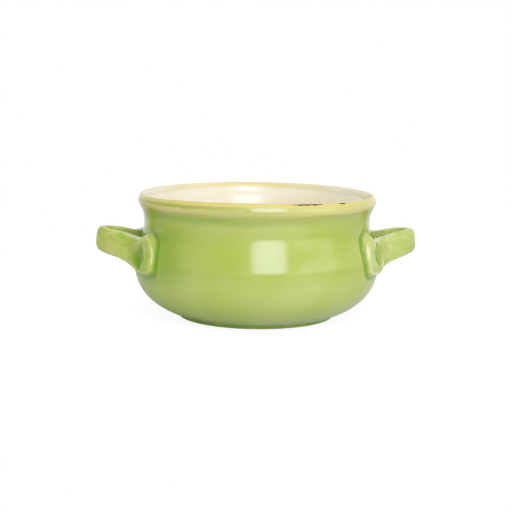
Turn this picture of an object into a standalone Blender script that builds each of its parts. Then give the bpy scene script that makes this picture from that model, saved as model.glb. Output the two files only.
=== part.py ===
"""Handled round baker: a thrown bowl with a flared lip, two strap handles and three glazes.

Each handle is one pressed strap, bent into a loop and luted to the wall by its two thumbed ends.
Metres, +Z up. The foot stands on Z = 0 and the handles lie along X.
"""

import math
from collections import namedtuple

import bmesh
import bpy
from mathutils import Matrix, Vector
from mathutils.geometry import interpolate_bezier

# Bowl, measured on the finished outside
BOWL_HEIGHT = 0.0803
RIM_RADIUS = 0.0760
RIM_DROP = 0.0045
LIP_THICKNESS = 0.0050
LIP_INNER_DROP = 0.0036
NECK_RADIUS = 0.0720
NECK_HEIGHT = 0.0600
BELLY_RADIUS = 0.0784
BELLY_HEIGHT = 0.0370
BELLY_RISE = math.radians(20.5)
FOOT_RADIUS = 0.0490
FOOT_HEIGHT = 0.0022
FOOT_FLARE = 0.0017
FOOT_RING_WIDTH = 0.0062
FOOT_RECESS = 0.0018
FOOT_RECESS_SLOPE = 0.0010
WALL = 0.0054
FLOOR = 0.0056
FLOOR_FLAT_RADIUS = 0.0280

# How far each curve of the wall holds its end direction, as a share of its span
LOWER_BELLY_PULL = (0.67, 0.55)
SHOULDER_PULL = (0.30, 0.30)
FLARE_PULL = (0.68, 0.25)
LIP_PULL = (0.62, 0.58)
INNER_BELLY_PULL = (0.62, 0.55)

# Glazes and slip
GLAZE = 0.0006
SLIP = 0.0004
CLEARANCE = 0.0003
BARE_FOOT_EDGE = 0.0007
RIM_BAND_OUTSIDE = 0.0086
RIM_BAND_INSIDE = 0.0060

# Handles: the strap's loop in plan, and the heights of its upper and lower edges
HANDLE_REACH = 0.0242
STRAP_THICKNESS = 0.0072
STRAP_ROUNDNESS = 2.7
STRAP_LEAN = math.radians(5)
LOOP_HALF_WIDTH = 0.0123
THROAT_HALF_WIDTH = 0.0161
NOSE_TOP = 0.0575
NOSE_BOTTOM = 0.0417
THROAT_TOP = 0.0533
THROAT_BOTTOM = 0.0342

# Shares of the loop's depth behind the nose, of its half width and of the strap's fall to the throat
LOOP_SHOULDER = (0.22, 0.60, 0.18)
LOOP_SIDE = (0.70, 1.00, 0.58)

# The thumbed ends that hold each handle to the wall
WEB_ANGLE = math.radians(20)
HEEL_TOP = 0.0550
PAD_ANGLE = math.radians(29.5)
PAD_TOP = 0.0590
PAD_BOTTOM = 0.0314
PAD_WIDTH = 0.0118
PAD_PROUD = 0.0048
PAD_SUNK = 0.0050
PAD_LEAN = math.radians(8)
TOE_ROUND = 0.0034
TOE_TURNS = (math.radians(45), math.radians(80))
THUMB_LENGTH = 0.0190
THUMB_HEIGHT = 0.0225
THUMB_DEPTH = 0.0030
THUMB_ROUND = 0.0046

# Fineness of the curves
SPIN_STEPS = 40
LOWER_BELLY_STEPS = 8
INNER_BELLY_STEPS = 6
SHOULDER_STEPS = 4
FLARE_STEPS = 4
LIP_STEPS = 3
STRAP_SIDES = 14
RING_SPACING = 0.0035
THUMB_SIDES = 20
THUMB_RINGS = 12
SHARP_ANGLE = math.radians(40)
MERGE = 0.00001

# Finishes
GREEN_GLAZE = (0.392, 0.539, 0.080)
CREAM_GLAZE = (0.830, 0.760, 0.620)
STRAW_GLAZE = (0.720, 0.610, 0.230)
FIRED_CLAY = (0.560, 0.370, 0.230)
FIRED_SLIP = (0.610, 0.440, 0.300)
GLAZE_ROUGHNESS = 0.12
RIM_ROUGHNESS = 0.15
CLAY_ROUGHNESS = 0.80

Station = namedtuple("Station", "out side height tall thick lean shift")


def clear_scene():
    for old in list(bpy.data.objects):
        bpy.data.objects.remove(old)


def make_collection(name):
    made = bpy.data.collections.new(name)
    bpy.context.scene.collection.children.link(made)
    return made


def make_material(name, colour, roughness):
    made = bpy.data.materials.new(name)
    made.use_nodes = True
    shader = made.node_tree.nodes["Principled BSDF"]
    shader.inputs["Base Color"].default_value = (*colour, 1)
    shader.inputs["Roughness"].default_value = roughness
    shader.inputs["Metallic"].default_value = 0
    made.diffuse_color = (*colour, 1)
    return made


def curve(start, start_pull, end_pull, end, steps):
    """Points of a cubic curve without its first one, pulled from both ends."""
    start, end = Vector(start), Vector(end)
    drawn = interpolate_bezier(start, start + Vector(start_pull), end - Vector(end_pull), end, steps + 1)
    return drawn[1:]


def wall_curve(start, end, pulls, steps):
    """A curve of the wall that leaves and arrives upright."""
    return curve(start, upright(pulls[0], start, end), upright(pulls[1], start, end), end, steps)


def outside_line():
    """The finished surface from the foot's lower edge up the outside to the lip's crest."""
    foot_top = (FOOT_RADIUS + FOOT_FLARE, FOOT_HEIGHT)
    belly = (BELLY_RADIUS, BELLY_HEIGHT)
    neck = (NECK_RADIUS, NECK_HEIGHT)
    rim = (RIM_RADIUS, BOWL_HEIGHT - RIM_DROP)
    crest = lip_crest()
    rise = LOWER_BELLY_PULL[0] * (belly[0] - foot_top[0])
    widening = (rise * math.cos(BELLY_RISE), rise * math.sin(BELLY_RISE))
    line = [Vector((FOOT_RADIUS, 0)), Vector(foot_top)]
    belly_pull = upright(LOWER_BELLY_PULL[1], foot_top, belly)
    line += curve(foot_top, widening, belly_pull, belly, LOWER_BELLY_STEPS)
    line += wall_curve(belly, neck, SHOULDER_PULL, SHOULDER_STEPS)
    line += wall_curve(neck, rim, FLARE_PULL, FLARE_STEPS)
    level = (LIP_PULL[1] * (crest[0] - rim[0]), 0)
    line += curve(rim, upright(LIP_PULL[0], rim, crest), level, crest, LIP_STEPS)
    return line


def inside_line():
    """The finished surface from the lip's crest down the inside to the middle of the floor."""
    crest = lip_crest()
    lip = (RIM_RADIUS - LIP_THICKNESS, BOWL_HEIGHT - LIP_INNER_DROP)
    neck = (NECK_RADIUS - WALL, NECK_HEIGHT)
    belly = (BELLY_RADIUS - WALL, BELLY_HEIGHT)
    floor = (FLOOR_FLAT_RADIUS, FOOT_RECESS + FLOOR)
    level = (LIP_PULL[1] * (lip[0] - crest[0]), 0)
    line = [Vector(crest)]
    line += curve(crest, level, upright(LIP_PULL[0], crest, lip), lip, LIP_STEPS)
    line += wall_curve(lip, neck, FLARE_PULL[::-1], FLARE_STEPS)
    line += wall_curve(neck, belly, SHOULDER_PULL[::-1], SHOULDER_STEPS)
    level = (INNER_BELLY_PULL[1] * (floor[0] - belly[0]), 0)
    line += curve(belly, upright(INNER_BELLY_PULL[0], belly, floor), level, floor, INNER_BELLY_STEPS)
    line.append(Vector((0, floor[1])))
    return line


def lip_crest():
    return (RIM_RADIUS - LIP_THICKNESS / 2, BOWL_HEIGHT)


def upright(share, start, end):
    return (0, share * (end[1] - start[1]))


def inset(line, depth):
    """The line moved into the clay, which lies on its left."""
    moved = []
    for i, point in enumerate(line):
        ahead = line[min(i + 1, len(line) - 1)] - line[max(i - 1, 0)]
        ahead.normalize()
        inward = Vector((-ahead.y, ahead.x))
        moved.append(point + depth * inward)
    if line[-1].x == 0:
        moved[-1].x = 0
    return moved


def between(line, first, last):
    """The stretch of a line whose height runs steadily from first to last."""
    ordered = line if line[0].y < line[-1].y else line[::-1]
    low, high = sorted((first, last))
    kept = [point for point in ordered if low + MERGE < point.y < high - MERGE]
    stretch = [at_height(ordered, low)] + kept + [at_height(ordered, high)]
    return stretch if first < last else stretch[::-1]


def at_height(line, height):
    """The point of a rising line at a height."""
    for below, above in zip(line, line[1:]):
        if below.y <= height <= above.y:
            return below.lerp(above, (height - below.y) / (above.y - below.y))
    return line[0] if height < line[0].y else line[-1]


def turned(name, outline, closed, collection):
    """A solid turned about Z from an outline that runs down its outer side."""
    mesh = bpy.data.meshes.new(name)
    edges = [(i, i + 1) for i in range(len(outline) - 1)]
    if closed:
        edges.append((len(outline) - 1, 0))
    mesh.from_pydata([(point.x, 0, point.y) for point in outline], edges, [])
    made = bpy.data.objects.new(name, mesh)
    collection.objects.link(made)
    screw = made.modifiers.new("turn", "SCREW")
    screw.axis = "Z"
    screw.steps = SPIN_STEPS
    screw.render_steps = SPIN_STEPS
    screw.use_merge_vertices = True
    screw.merge_threshold = MERGE
    screw.use_smooth_shade = True
    return made


def make_cutter(cutter):
    cutter.hide_render = True
    cutter.display_type = "WIRE"
    return cutter


def cut(piece, cutter, operation="DIFFERENCE"):
    boolean = piece.modifiers.new(cutter.name, "BOOLEAN")
    boolean.object = cutter
    boolean.operation = operation
    boolean.solver = "EXACT"


def make_bowl(outside, inside, parts):
    """The clay body: wall, floor, lip and the foot ring turned from its underside."""
    clay = GLAZE + CLEARANCE
    outline = inset(outside + inside[1:], clay)[::-1]
    foot = outline[-1]
    foot.y = 0
    ring = foot.x - FOOT_RING_WIDTH
    outline.append(Vector((ring, 0)))
    outline.append(Vector((ring - FOOT_RECESS_SLOPE, FOOT_RECESS)))
    outline.append(Vector((0, FOOT_RECESS)))
    return turned("bowl_body", outline, False, parts)


def make_glazes(outside, inside, parts):
    """The green coat outside, the straw band over the lip and the cream coat inside."""
    band_low = BOWL_HEIGHT - RIM_BAND_OUTSIDE
    band_inner = BOWL_HEIGHT - RIM_BAND_INSIDE
    coat = between(outside, BARE_FOOT_EDGE, band_low - CLEARANCE)
    band = between(outside, band_low, BOWL_HEIGHT) + between(inside, BOWL_HEIGHT, band_inner)[1:]
    liner = between(inside[:-1], band_inner - CLEARANCE, inside[-1].y)
    liner.append(inside[-1])
    outer = turned("outer_glaze", coat[::-1] + inset(coat, GLAZE), True, parts)
    rim = turned("rim_glaze", inset(band, GLAZE) + band[::-1], True, parts)
    inner = turned("inner_glaze", liner[::-1] + inset(liner, GLAZE), False, parts)
    return outer, rim, inner


def handle_stations(outside):
    """Half a handle's strap, from the nose of the loop to the toe of one end."""
    wall = rising_wall(outside)
    nose = BELLY_RADIUS + HANDLE_REACH - STRAP_THICKNESS / 2

    def on_strap(out, side, fall):
        top = NOSE_TOP + fall * (THROAT_TOP - NOSE_TOP)
        bottom = NOSE_BOTTOM + fall * (THROAT_BOTTOM - NOSE_BOTTOM)
        return Station(out, side, (top + bottom) / 2, top - bottom, STRAP_THICKNESS, STRAP_LEAN, 0)

    def on_loop(back, width, fall):
        return on_strap(nose - back * (nose - BELLY_RADIUS), width * LOOP_HALF_WIDTH, fall)

    def on_wall(angle, top, bottom, proud):
        height = (top + bottom) / 2
        radius = at_height(wall, height).x
        thick, shift = proud + PAD_SUNK, (proud - PAD_SUNK) / 2
        out, side = radius * math.cos(angle), radius * math.sin(angle)
        return Station(out, side, height, top - bottom, thick, PAD_LEAN, shift)

    pad_turn = PAD_WIDTH / 2 / BELLY_RADIUS
    toe_angle = PAD_ANGLE + pad_turn - TOE_ROUND / BELLY_RADIUS
    stations = {
        "nose": on_strap(nose, 0, 0),
        "shoulder": on_loop(*LOOP_SHOULDER),
        "side": on_loop(*LOOP_SIDE),
        "throat": on_strap(BELLY_RADIUS, THROAT_HALF_WIDTH, 1),
        "web": on_wall(WEB_ANGLE, THROAT_TOP, (THROAT_BOTTOM + PAD_BOTTOM) / 2, PAD_PROUD),
        "heel": on_wall(PAD_ANGLE - pad_turn, HEEL_TOP, PAD_BOTTOM, PAD_PROUD),
        "pad": on_wall(PAD_ANGLE, PAD_TOP, PAD_BOTTOM, PAD_PROUD),
    }
    for turn in TOE_TURNS:
        angle = toe_angle + TOE_ROUND * math.sin(turn) / BELLY_RADIUS
        ease = TOE_ROUND * (1 - math.cos(turn))
        stations[f"toe_{len(stations)}"] = on_wall(angle, PAD_TOP - ease, PAD_BOTTOM + ease, PAD_PROUD - ease)
    return stations


def rising_wall(outside):
    """The outside below the widest part of the lip, where height only rises."""
    return [point for point in outside if point.y <= BOWL_HEIGHT - RIM_DROP]


def smooth_stations(stations):
    """The whole strap from toe to toe, with rings drawn smoothly through its stations."""
    half = list(stations.values())
    mirrored = [station._replace(side=-station.side) for station in half[:0:-1]]
    whole = [Vector(station) for station in mirrored + half]
    steps = [math.dist(here[:3], after[:3]) for here, after in zip(whole, whole[1:])]
    chords = [(after - here) / step for here, after, step in zip(whole, whole[1:], steps)]
    slopes = [chords[0]]
    for i in range(1, len(chords)):
        slopes.append((chords[i] * steps[i - 1] + chords[i - 1] * steps[i]) / (steps[i] + steps[i - 1]))
    slopes.append(chords[-1])
    rings = []
    for i, step in enumerate(steps):
        count = max(1, round(step / RING_SPACING))
        for k in range(count):
            rings.append(hermite(whole[i], whole[i + 1], slopes[i] * step, slopes[i + 1] * step, k / count))
    rings.append(whole[-1])
    return [Station(*ring) for ring in rings]


def hermite(start, end, start_slope, end_slope, t):
    rise = end - start
    return start + t * (start_slope + t * (3 * rise - 2 * start_slope - end_slope
                                           + t * (start_slope + end_slope - 2 * rise)))


def strap_ring(station, ahead, grow):
    """The corner points of the strap's rounded section at a station."""
    outward = Vector((ahead.y, -ahead.x, 0)).normalized()
    up = Vector((0, 0, 1))
    leaning_up = up * math.cos(station.lean) - outward * math.sin(station.lean)
    leaning_out = outward * math.cos(station.lean) + up * math.sin(station.lean)
    centre = Vector((station.out, station.side, station.height)) + station.shift * outward
    ring = []
    for k in range(STRAP_SIDES):
        turn = 2 * math.pi * (k + 0.5) / STRAP_SIDES
        across = rounded(math.cos(turn)) * (station.thick / 2 + grow)
        along = rounded(math.sin(turn)) * (station.tall / 2 + grow)
        ring.append(centre + across * leaning_out + along * leaning_up)
    return ring


def rounded(value):
    return math.copysign(abs(value) ** (2 / STRAP_ROUNDNESS), value)


def end_rings(rings, side):
    """The rings of the strap's front or back end, from beside the loop's opening to the toe."""
    loop = max(ring.side for ring in rings if ring.out > BELLY_RADIUS + STRAP_THICKNESS / 2)
    return [ring for ring in rings if side * ring.side >= loop]


def strap_mesh(name, rings, grow=0.0):
    """The strap as a loft through its rings, pointing along +X, with closed ends."""
    mesh = bpy.data.meshes.new(name)
    bm = bmesh.new()
    previous = None
    last = len(rings) - 1
    for i, station in enumerate(rings):
        back, front = rings[max(i - 1, 0)], rings[min(i + 1, last)]
        ahead = Vector((front.out - back.out, front.side - back.side, 0)).normalized()
        past_toe = {0: -grow, last: grow}.get(i, 0)
        ring = [bm.verts.new(point + past_toe * ahead) for point in strap_ring(station, ahead, grow)]
        loop = [bm.edges.new((ring[k - 1], ring[k])) for k in range(STRAP_SIDES)]
        if previous:
            bmesh.ops.bridge_loops(bm, edges=previous + loop)
        else:
            bm.faces.new(ring)
        previous = loop
    bm.faces.new(ring)
    bmesh.ops.recalc_face_normals(bm, faces=bm.faces)
    bm.to_mesh(mesh)
    bm.free()
    mesh.shade_smooth()
    mesh.set_sharp_from_angle(angle=SHARP_ANGLE)
    return mesh


def thumb_mesh(stations, side):
    """The ball that presses one thumb print into the strap, between the throat and the pad."""
    throat, web, pad = stations["throat"], stations["web"], stations["pad"]
    along = Vector((pad.out - throat.out, side * (pad.side - throat.side), 0)).normalized()
    outward = Vector((along.y, -along.x, 0)) * side
    face = Vector((web.out, side * web.side, web.height)) + outward * (web.shift + web.thick / 2)
    centre = face + outward * (THUMB_ROUND - THUMB_DEPTH)
    spread = math.sqrt(1 - (1 - THUMB_DEPTH / THUMB_ROUND) ** 2)
    axes = Matrix((along, outward, Vector((0, 0, 1)))).transposed().to_4x4()
    sizes = Matrix.Diagonal((THUMB_LENGTH / 2 / spread, THUMB_ROUND, THUMB_HEIGHT / 2 / spread, 1))
    mesh = bpy.data.meshes.new("thumb")
    bm = bmesh.new()
    place = Matrix.Translation(centre) @ axes @ sizes
    bmesh.ops.create_uvsphere(bm, u_segments=THUMB_SIDES, v_segments=THUMB_RINGS, radius=1, matrix=place)
    bmesh.ops.recalc_face_normals(bm, faces=bm.faces)
    bm.to_mesh(mesh)
    bm.free()
    return mesh


def make_handles(outside, outer_glaze, parts, cutters, glaze, slip):
    """Two handles half a turn apart, each with a slip seam under either end."""
    stations = handle_stations(outside)
    wall = rising_wall(outside)
    slip_inner = inset(wall, GLAZE)
    slip_outer = inset(wall, GLAZE - SLIP)
    seat = inset(wall, GLAZE - SLIP - CLEARANCE)
    axis_top, axis_low = Vector((0, seat[-1].y)), Vector((0, seat[0].y))
    seat_cutter = make_cutter(turned("seat_cutter", [axis_top] + seat[::-1] + [axis_low], False, cutters))
    slip_ring = make_cutter(turned("slip_ring", slip_outer[::-1] + slip_inner, True, cutters))
    rings = smooth_stations(stations)
    strap = strap_mesh("strap", rings)
    strap.materials.append(glaze)
    grown = strap_mesh("strap_clearance", rings, CLEARANCE)
    thumbs = {side: thumb_mesh(stations, side) for side in (-1, 1)}
    seams = {side: strap_mesh("seam", end_rings(rings, side)) for side in (-1, 1)}
    for seam in seams.values():
        seam.materials.append(slip)
    for hand, turn, front in (("right", 0, -1), ("left", math.pi, 1)):
        mount = bpy.data.objects.new(f"{hand}_handle_seat", None)
        mount.rotation_euler.z = turn
        parts.objects.link(mount)

        def add(name, mesh, collection):
            made = bpy.data.objects.new(f"{hand}_{name}", mesh)
            made.parent = mount
            collection.objects.link(made)
            return made

        handle = add("handle", strap, parts)
        cut(handle, seat_cutter)
        cut(outer_glaze, make_cutter(add("strap_clearance", grown, cutters)))
        for end, side in (("front", front), ("back", -front)):
            cut(handle, make_cutter(add(f"{end}_thumb", thumbs[side], cutters)))
            cut(add(f"{end}_luting", seams[side], parts), slip_ring, "INTERSECT")


def main():
    clear_scene()
    parts = make_collection("handled_round_baker")
    cutters = make_collection("handled_round_baker_cutters")
    outside, inside = outside_line(), inside_line()
    bowl = make_bowl(outside, inside, parts)
    outer, rim, inner = make_glazes(outside, inside, parts)
    bowl.data.materials.append(make_material("fired_clay", FIRED_CLAY, CLAY_ROUGHNESS))
    outer.data.materials.append(make_material("green_glaze", GREEN_GLAZE, GLAZE_ROUGHNESS))
    rim.data.materials.append(make_material("straw_glaze", STRAW_GLAZE, RIM_ROUGHNESS))
    inner.data.materials.append(make_material("cream_glaze", CREAM_GLAZE, GLAZE_ROUGHNESS))
    handle_glaze = make_material("handle_glaze", GREEN_GLAZE, GLAZE_ROUGHNESS)
    slip = make_material("fired_slip", FIRED_SLIP, CLAY_ROUGHNESS)
    make_handles(outside, outer, parts, cutters, handle_glaze, slip)


main()
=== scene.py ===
import math
from collections import namedtuple

import bmesh
import bpy
from mathutils import Matrix, Quaternion, Vector, noise
from mathutils.bvhtree import BVHTree
from mathutils.geometry import interpolate_bezier


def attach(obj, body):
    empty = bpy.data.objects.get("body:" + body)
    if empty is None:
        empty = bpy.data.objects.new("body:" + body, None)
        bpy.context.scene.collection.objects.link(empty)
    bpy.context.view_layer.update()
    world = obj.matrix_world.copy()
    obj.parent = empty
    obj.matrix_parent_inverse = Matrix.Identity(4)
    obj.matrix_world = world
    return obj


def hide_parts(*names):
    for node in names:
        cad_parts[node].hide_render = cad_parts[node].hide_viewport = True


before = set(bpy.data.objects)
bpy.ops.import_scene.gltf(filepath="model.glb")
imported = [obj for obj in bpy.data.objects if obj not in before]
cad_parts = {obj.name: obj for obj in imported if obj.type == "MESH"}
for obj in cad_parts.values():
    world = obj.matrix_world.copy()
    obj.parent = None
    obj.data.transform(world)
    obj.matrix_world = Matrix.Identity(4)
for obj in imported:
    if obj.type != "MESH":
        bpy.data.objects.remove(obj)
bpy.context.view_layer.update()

# The thrown bowl, in metres and degrees; every piece below takes its place from these values
bowl = {
    "height": 0.0803,
    "rimRadius": 0.0760,
    "rimDrop": 0.0045,
    "lipThickness": 0.0050,
    "lipInnerDrop": 0.0036,
    "neckRadius": 0.0720,
    "neckHeight": 0.0600,
    "bellyRadius": 0.0784,
    "bellyHeight": 0.0370,
    "bellyRise": 20.5,
    "footRadius": 0.0490,
    "footHeight": 0.0022,
    "footFlare": 0.0017,
    "wall": 0.0054,
    "floor": 0.0056,
    "floorFlat": 0.0280,
    "footRingWidth": 0.0062,
    "footRecess": 0.0018,
    "footRecessSlope": 0.0010,
    "glaze": 0.0006,
    "bareFoot": 0.0004,
    "bandOutside": 0.0086,
    "bandInside": 0.0060,
    "outOfRound": 0.00022,   # how far the hand-thrown wall strays inwards from a true circle
    "throwingRings": 0.00003,
    "lipWave": 0.00022,
    "frontRise": 0.0013,     # how much higher the lip stands at the front than elsewhere
    "frontReach": 84,
    "frontAt": -9,
    "frontTilt": 0.0009,     # how far the lip leans inwards at the front
    "riseFrom": 0.0660,      # heights at which the front's rise and its lean begin
    "tiltFrom": 0.0755,
}


def clamped(value):
    return min(1, max(0, value))


def eased(share):
    return share * share * (3 - 2 * share)


def curve(start, startPull, endPull, end, points=41):
    start, end = Vector(start), Vector(end)
    return interpolate_bezier(start, start + Vector(startPull), end - Vector(endPull), end, points)[1:]


def upright(share, start, end):
    return (0, share * (end[1] - start[1]))


def wallCurve(start, end, startShare, endShare):
    return curve(start, upright(startShare, start, end), upright(endShare, start, end), end)


# In both lines a share says how far a curve is pulled along its end before it turns

def outsideLine():
    footTop = (bowl["footRadius"] + bowl["footFlare"], bowl["footHeight"])
    belly = (bowl["bellyRadius"], bowl["bellyHeight"])
    neck = (bowl["neckRadius"], bowl["neckHeight"])
    rim = (bowl["rimRadius"], bowl["height"] - bowl["rimDrop"])
    crest = (bowl["rimRadius"] - bowl["lipThickness"] / 2, bowl["height"])
    rise = 0.67 * (belly[0] - footTop[0])
    slope = math.radians(bowl["bellyRise"])
    line = [Vector((bowl["footRadius"], 0)), Vector(footTop)]
    line += curve(footTop, (rise * math.cos(slope), rise * math.sin(slope)),
                  upright(0.55, footTop, belly), belly)
    line += wallCurve(belly, neck, 0.30, 0.30)
    line += wallCurve(neck, rim, 0.68, 0.25)
    line += curve(rim, upright(0.30, rim, crest), (0.58 * (crest[0] - rim[0]), 0), crest)
    return line


def insideLine():
    crest = (bowl["rimRadius"] - bowl["lipThickness"] / 2, bowl["height"])
    lip = (bowl["rimRadius"] - bowl["lipThickness"], bowl["height"] - bowl["lipInnerDrop"])
    neck = (bowl["neckRadius"] - bowl["wall"], bowl["neckHeight"])
    belly = (bowl["bellyRadius"] - bowl["wall"], bowl["bellyHeight"])
    floor = (bowl["floorFlat"], bowl["footRecess"] + bowl["floor"])
    line = [Vector(crest)]
    slant = Vector((0.5 * (neck[0] - lip[0]), neck[1] - lip[1]))
    line += curve(crest, (0.58 * (lip[0] - crest[0]), 0), 0.10 * slant, lip)
    line += curve(lip, 0.25 * slant, upright(0.60, lip, neck), neck)
    line += wallCurve(neck, belly, 0.30, 0.30)
    line += curve(belly, upright(0.62, belly, floor), (0.55 * (floor[0] - belly[0]), 0), floor)
    line.append(Vector((0, floor[1])))
    return line


outside, inside = outsideLine(), insideLine()
risingWall = [point for point in outside if point.y <= bowl["height"] - bowl["rimDrop"]]
bandLow = bowl["height"] - bowl["bandOutside"]
bandInner = bowl["height"] - bowl["bandInside"]


def atHeight(line, height):
    ordered = line if line[0].y < line[-1].y else line[::-1]
    for below, above in zip(ordered, ordered[1:]):
        if below.y <= height <= above.y and above.y > below.y:
            return below.lerp(above, (height - below.y) / (above.y - below.y))
    return ordered[0] if height < ordered[0].y else ordered[-1]


def wallRadius(height):
    return atHeight(risingWall, height).x


def between(line, first, last):
    low, high = sorted((first, last))
    kept = [point for point in line if low < point.y < high]
    return [atHeight(line, first)] + kept + [atHeight(line, last)]


# Distances between the points drawn along each outline
rows = {
    "foot": 0.0005,
    "joint": 0.0006,
    "wall": 0.0012,
    "band": 0.00045,
    "crest": 0.00022,
    "bandBacking": 0.0016,
    "liner": 0.0014,
    "clay": 0.0015,
    "backing": 0.0060,
}


def spaced(line, spacing):
    # the line drawn again with points as close together as spacing(point) asks
    marks = [0]
    for here, after in zip(line, line[1:]):
        marks.append(marks[-1] + (after - here).length / spacing((here + after) / 2))
    count = max(1, round(marks[-1]))
    drawn, i = [], 0
    for k in range(count + 1):
        goal = marks[-1] * k / count
        while i < len(line) - 2 and marks[i + 1] < goal:
            i += 1
        share = (goal - marks[i]) / max(marks[i + 1] - marks[i], 1e-9)
        drawn.append(line[i].lerp(line[i + 1], share))
    return drawn


def evenly(line, kind):
    return spaced(line, lambda point: rows[kind])


def inset(line, depth):
    # the line moved into the clay, which lies on its left
    moved = []
    for i, point in enumerate(line):
        ahead = (line[min(i + 1, len(line) - 1)] - line[max(i - 1, 0)]).normalized()
        moved.append(point + depth * Vector((-ahead.y, ahead.x)))
    if line[-1].x == 0:
        moved[-1].x = 0
    return moved


def thrown(point):
    # a true turned point moved to where a hand-thrown wall has it, never outwards or upwards
    radius = math.hypot(point.x, point.y)
    if radius < 1e-6:
        return point
    around = Vector((point.x / radius, point.y / radius, 0))
    rise = point.z / bowl["height"]
    # what is added to a place only picks the part of the noise that is read
    slow = noise.noise(around * 0.9 + Vector((3.1, 1.7, 1.6 * rise)))
    ring = noise.noise(Vector((around.x * 0.5, around.y * 0.5, 12 * rise + 5)))
    wave = noise.noise(around * 1.4 + Vector((9.2, 4.4, 0)))
    inwards = bowl["outOfRound"] * (1 - slow) / 2 + bowl["throwingRings"] * (1 - ring) / 2
    turn = (math.degrees(math.atan2(point.x, -point.y)) - bowl["frontAt"]) / bowl["frontReach"]
    swell = math.cos(math.pi / 2 * turn) ** 2 if abs(turn) < 1 else 0
    lip, tilt = [clamped((point.z - bowl[start]) / (bowl["height"] - bowl[start]))
                 for start in ("riseFrom", "tiltFrom")]
    inwards += bowl["frontTilt"] * swell * tilt ** 1.25
    drop = bowl["lipWave"] * (1 - wave) / 2 * rise ** 4
    drop += bowl["frontRise"] * (1 - swell) * eased(lip)
    return Vector((around.x * (radius - inwards), around.y * (radius - inwards), point.z - drop))


# Degrees of each arc of a quarter turn, from a handle's middle to the front, and the columns in it
fineArcs = ((8, 8), (34, 108), (48, 45))
plainArcs = ((8, 4), (34, 17), (48, 24))
chippedArcs = ((8, 6), (34, 24), (48, 120))    # closer columns at the front, where the lip is chipped
weldDistance = 2e-6


def spinOutline(outline, arcs=fineArcs, closed=True):
    # a quarter turned about Z, with closer columns where a handle end joins the wall, then mirrored twice
    bm = bmesh.new()
    verts = [bm.verts.new((point.x, 0, point.y)) for point in outline]
    edges = [bm.edges.new(pair) for pair in zip(verts, verts[1:])]
    if closed:
        edges.append(bm.edges.new((verts[-1], verts[0])))
    line = verts + edges
    for sweep, steps in arcs:
        made = bmesh.ops.spin(bm, geom=line, cent=(0, 0, 0), axis=(0, 0, 1), angle=math.radians(sweep),
                              steps=steps, use_merge=False)
        line = made["geom_last"]
    for axis in "XY":
        everything = bm.verts[:] + bm.edges[:] + bm.faces[:]
        bmesh.ops.mirror(bm, geom=everything, merge_dist=weldDistance, axis=axis)
    bmesh.ops.remove_doubles(bm, verts=bm.verts, dist=weldDistance)
    bmesh.ops.recalc_face_normals(bm, faces=bm.faces)
    return bm


def finishPiece(bm, name, node, material, sharpAngle=40):
    bmesh.ops.recalc_face_normals(bm, faces=bm.faces)
    mesh = bpy.data.meshes.new(name)
    bm.to_mesh(mesh)
    bm.free()
    mesh.shade_smooth()
    mesh.set_sharp_from_angle(angle=math.radians(sharpAngle))
    mesh.materials.append(material)
    piece = bpy.data.objects.new(name, mesh)
    bpy.context.scene.collection.objects.link(piece)
    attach(piece, "root")
    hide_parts(node)


relief = {
    "flat": 12,             # a bend this slight counts as flat
    "thinAndSheenBend": 150,        # the bend beyond it at which glaze is thinnest, with its painted highlight, and at which it is deepest, with its painted shade
    "poolAndShadeBend": 130,
    "smoothing": 4,
}


def markRelief(bm):
    # glaze runs thin over rounded edges and pools in hollows: one attribute for each; the thin one also
    # carries a painted highlight and the pooled one painted shade
    bm.normal_update()
    thinAndSheen = bm.verts.layers.float.get("thinAndSheen") or bm.verts.layers.float.new("thinAndSheen")
    pool = bm.verts.layers.float.get("pool") or bm.verts.layers.float.new("pool")
    bm.verts.ensure_lookup_table()
    bm.verts.index_update()
    near = [[edge.other_vert(vert).index for edge in vert.link_edges] for vert in bm.verts]
    bend = []
    for vert in bm.verts:
        around = [bm.verts[i].co for i in near[vert.index]]
        middle = sum(around, Vector()) / len(around)
        reach = sum((co - vert.co).length_squared for co in around) / len(around)
        bend.append((vert.co - middle).dot(vert.normal) / max(reach, 1e-12))
    for _ in range(relief["smoothing"]):
        bend = [0.5 * bend[i] + 0.5 * sum(bend[j] for j in near[i]) / len(near[i]) for i in range(len(bend))]
    for vert in bm.verts:
        out = bend[vert.index]
        vert[thinAndSheen] = max(vert[thinAndSheen], clamped((out - relief["flat"]) / relief["thinAndSheenBend"]))
        vert[pool] = max(vert[pool], clamped((-out - relief["flat"]) / relief["poolAndShadeBend"]))


# Materials

def addNode(tree, kind, inputs=(), **settings):
    made = tree.nodes.new(kind)
    for key, value in settings.items():
        setattr(made, key, value)
    for key, value in dict(inputs).items():
        if isinstance(value, bpy.types.NodeSocket):
            tree.links.new(value, made.inputs[key])
        else:
            made.inputs[key].default_value = value
    return made


def newMaterial(name, roughness, ior=1.58):
    made = bpy.data.materials.new(name)
    made.use_nodes = True
    shader = made.node_tree.nodes["Principled BSDF"]
    shader.inputs["Roughness"].default_value = roughness
    shader.inputs["IOR"].default_value = ior
    return made, made.node_tree, shader


def speckle(tree, scale, detail=3, stretch=(1, 1, 1)):
    place = addNode(tree, "ShaderNodeTexCoord").outputs["Object"]
    if stretch != (1, 1, 1):
        place = addNode(tree, "ShaderNodeMapping", {"Vector": place, "Scale": stretch}).outputs["Vector"]
    return addNode(tree, "ShaderNodeTexNoise", {"Vector": place, "Scale": scale, "Detail": detail}).outputs[0]


def ramp(tree, value, low, high, top=1.0):
    limits = {"Value": value, "From Min": low, "From Max": high, "To Max": top}
    return addNode(tree, "ShaderNodeMapRange", limits, interpolation_type="SMOOTHSTEP").outputs["Result"]


def spread(tree, value, low, high):
    limits = {"Value": value, "To Min": low, "To Max": high}
    return addNode(tree, "ShaderNodeMapRange", limits).outputs["Result"]


def mixed(tree, factor, first, second):
    return addNode(tree, "ShaderNodeMix", {0: factor, 2: first, 3: second}).outputs[0]


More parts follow.
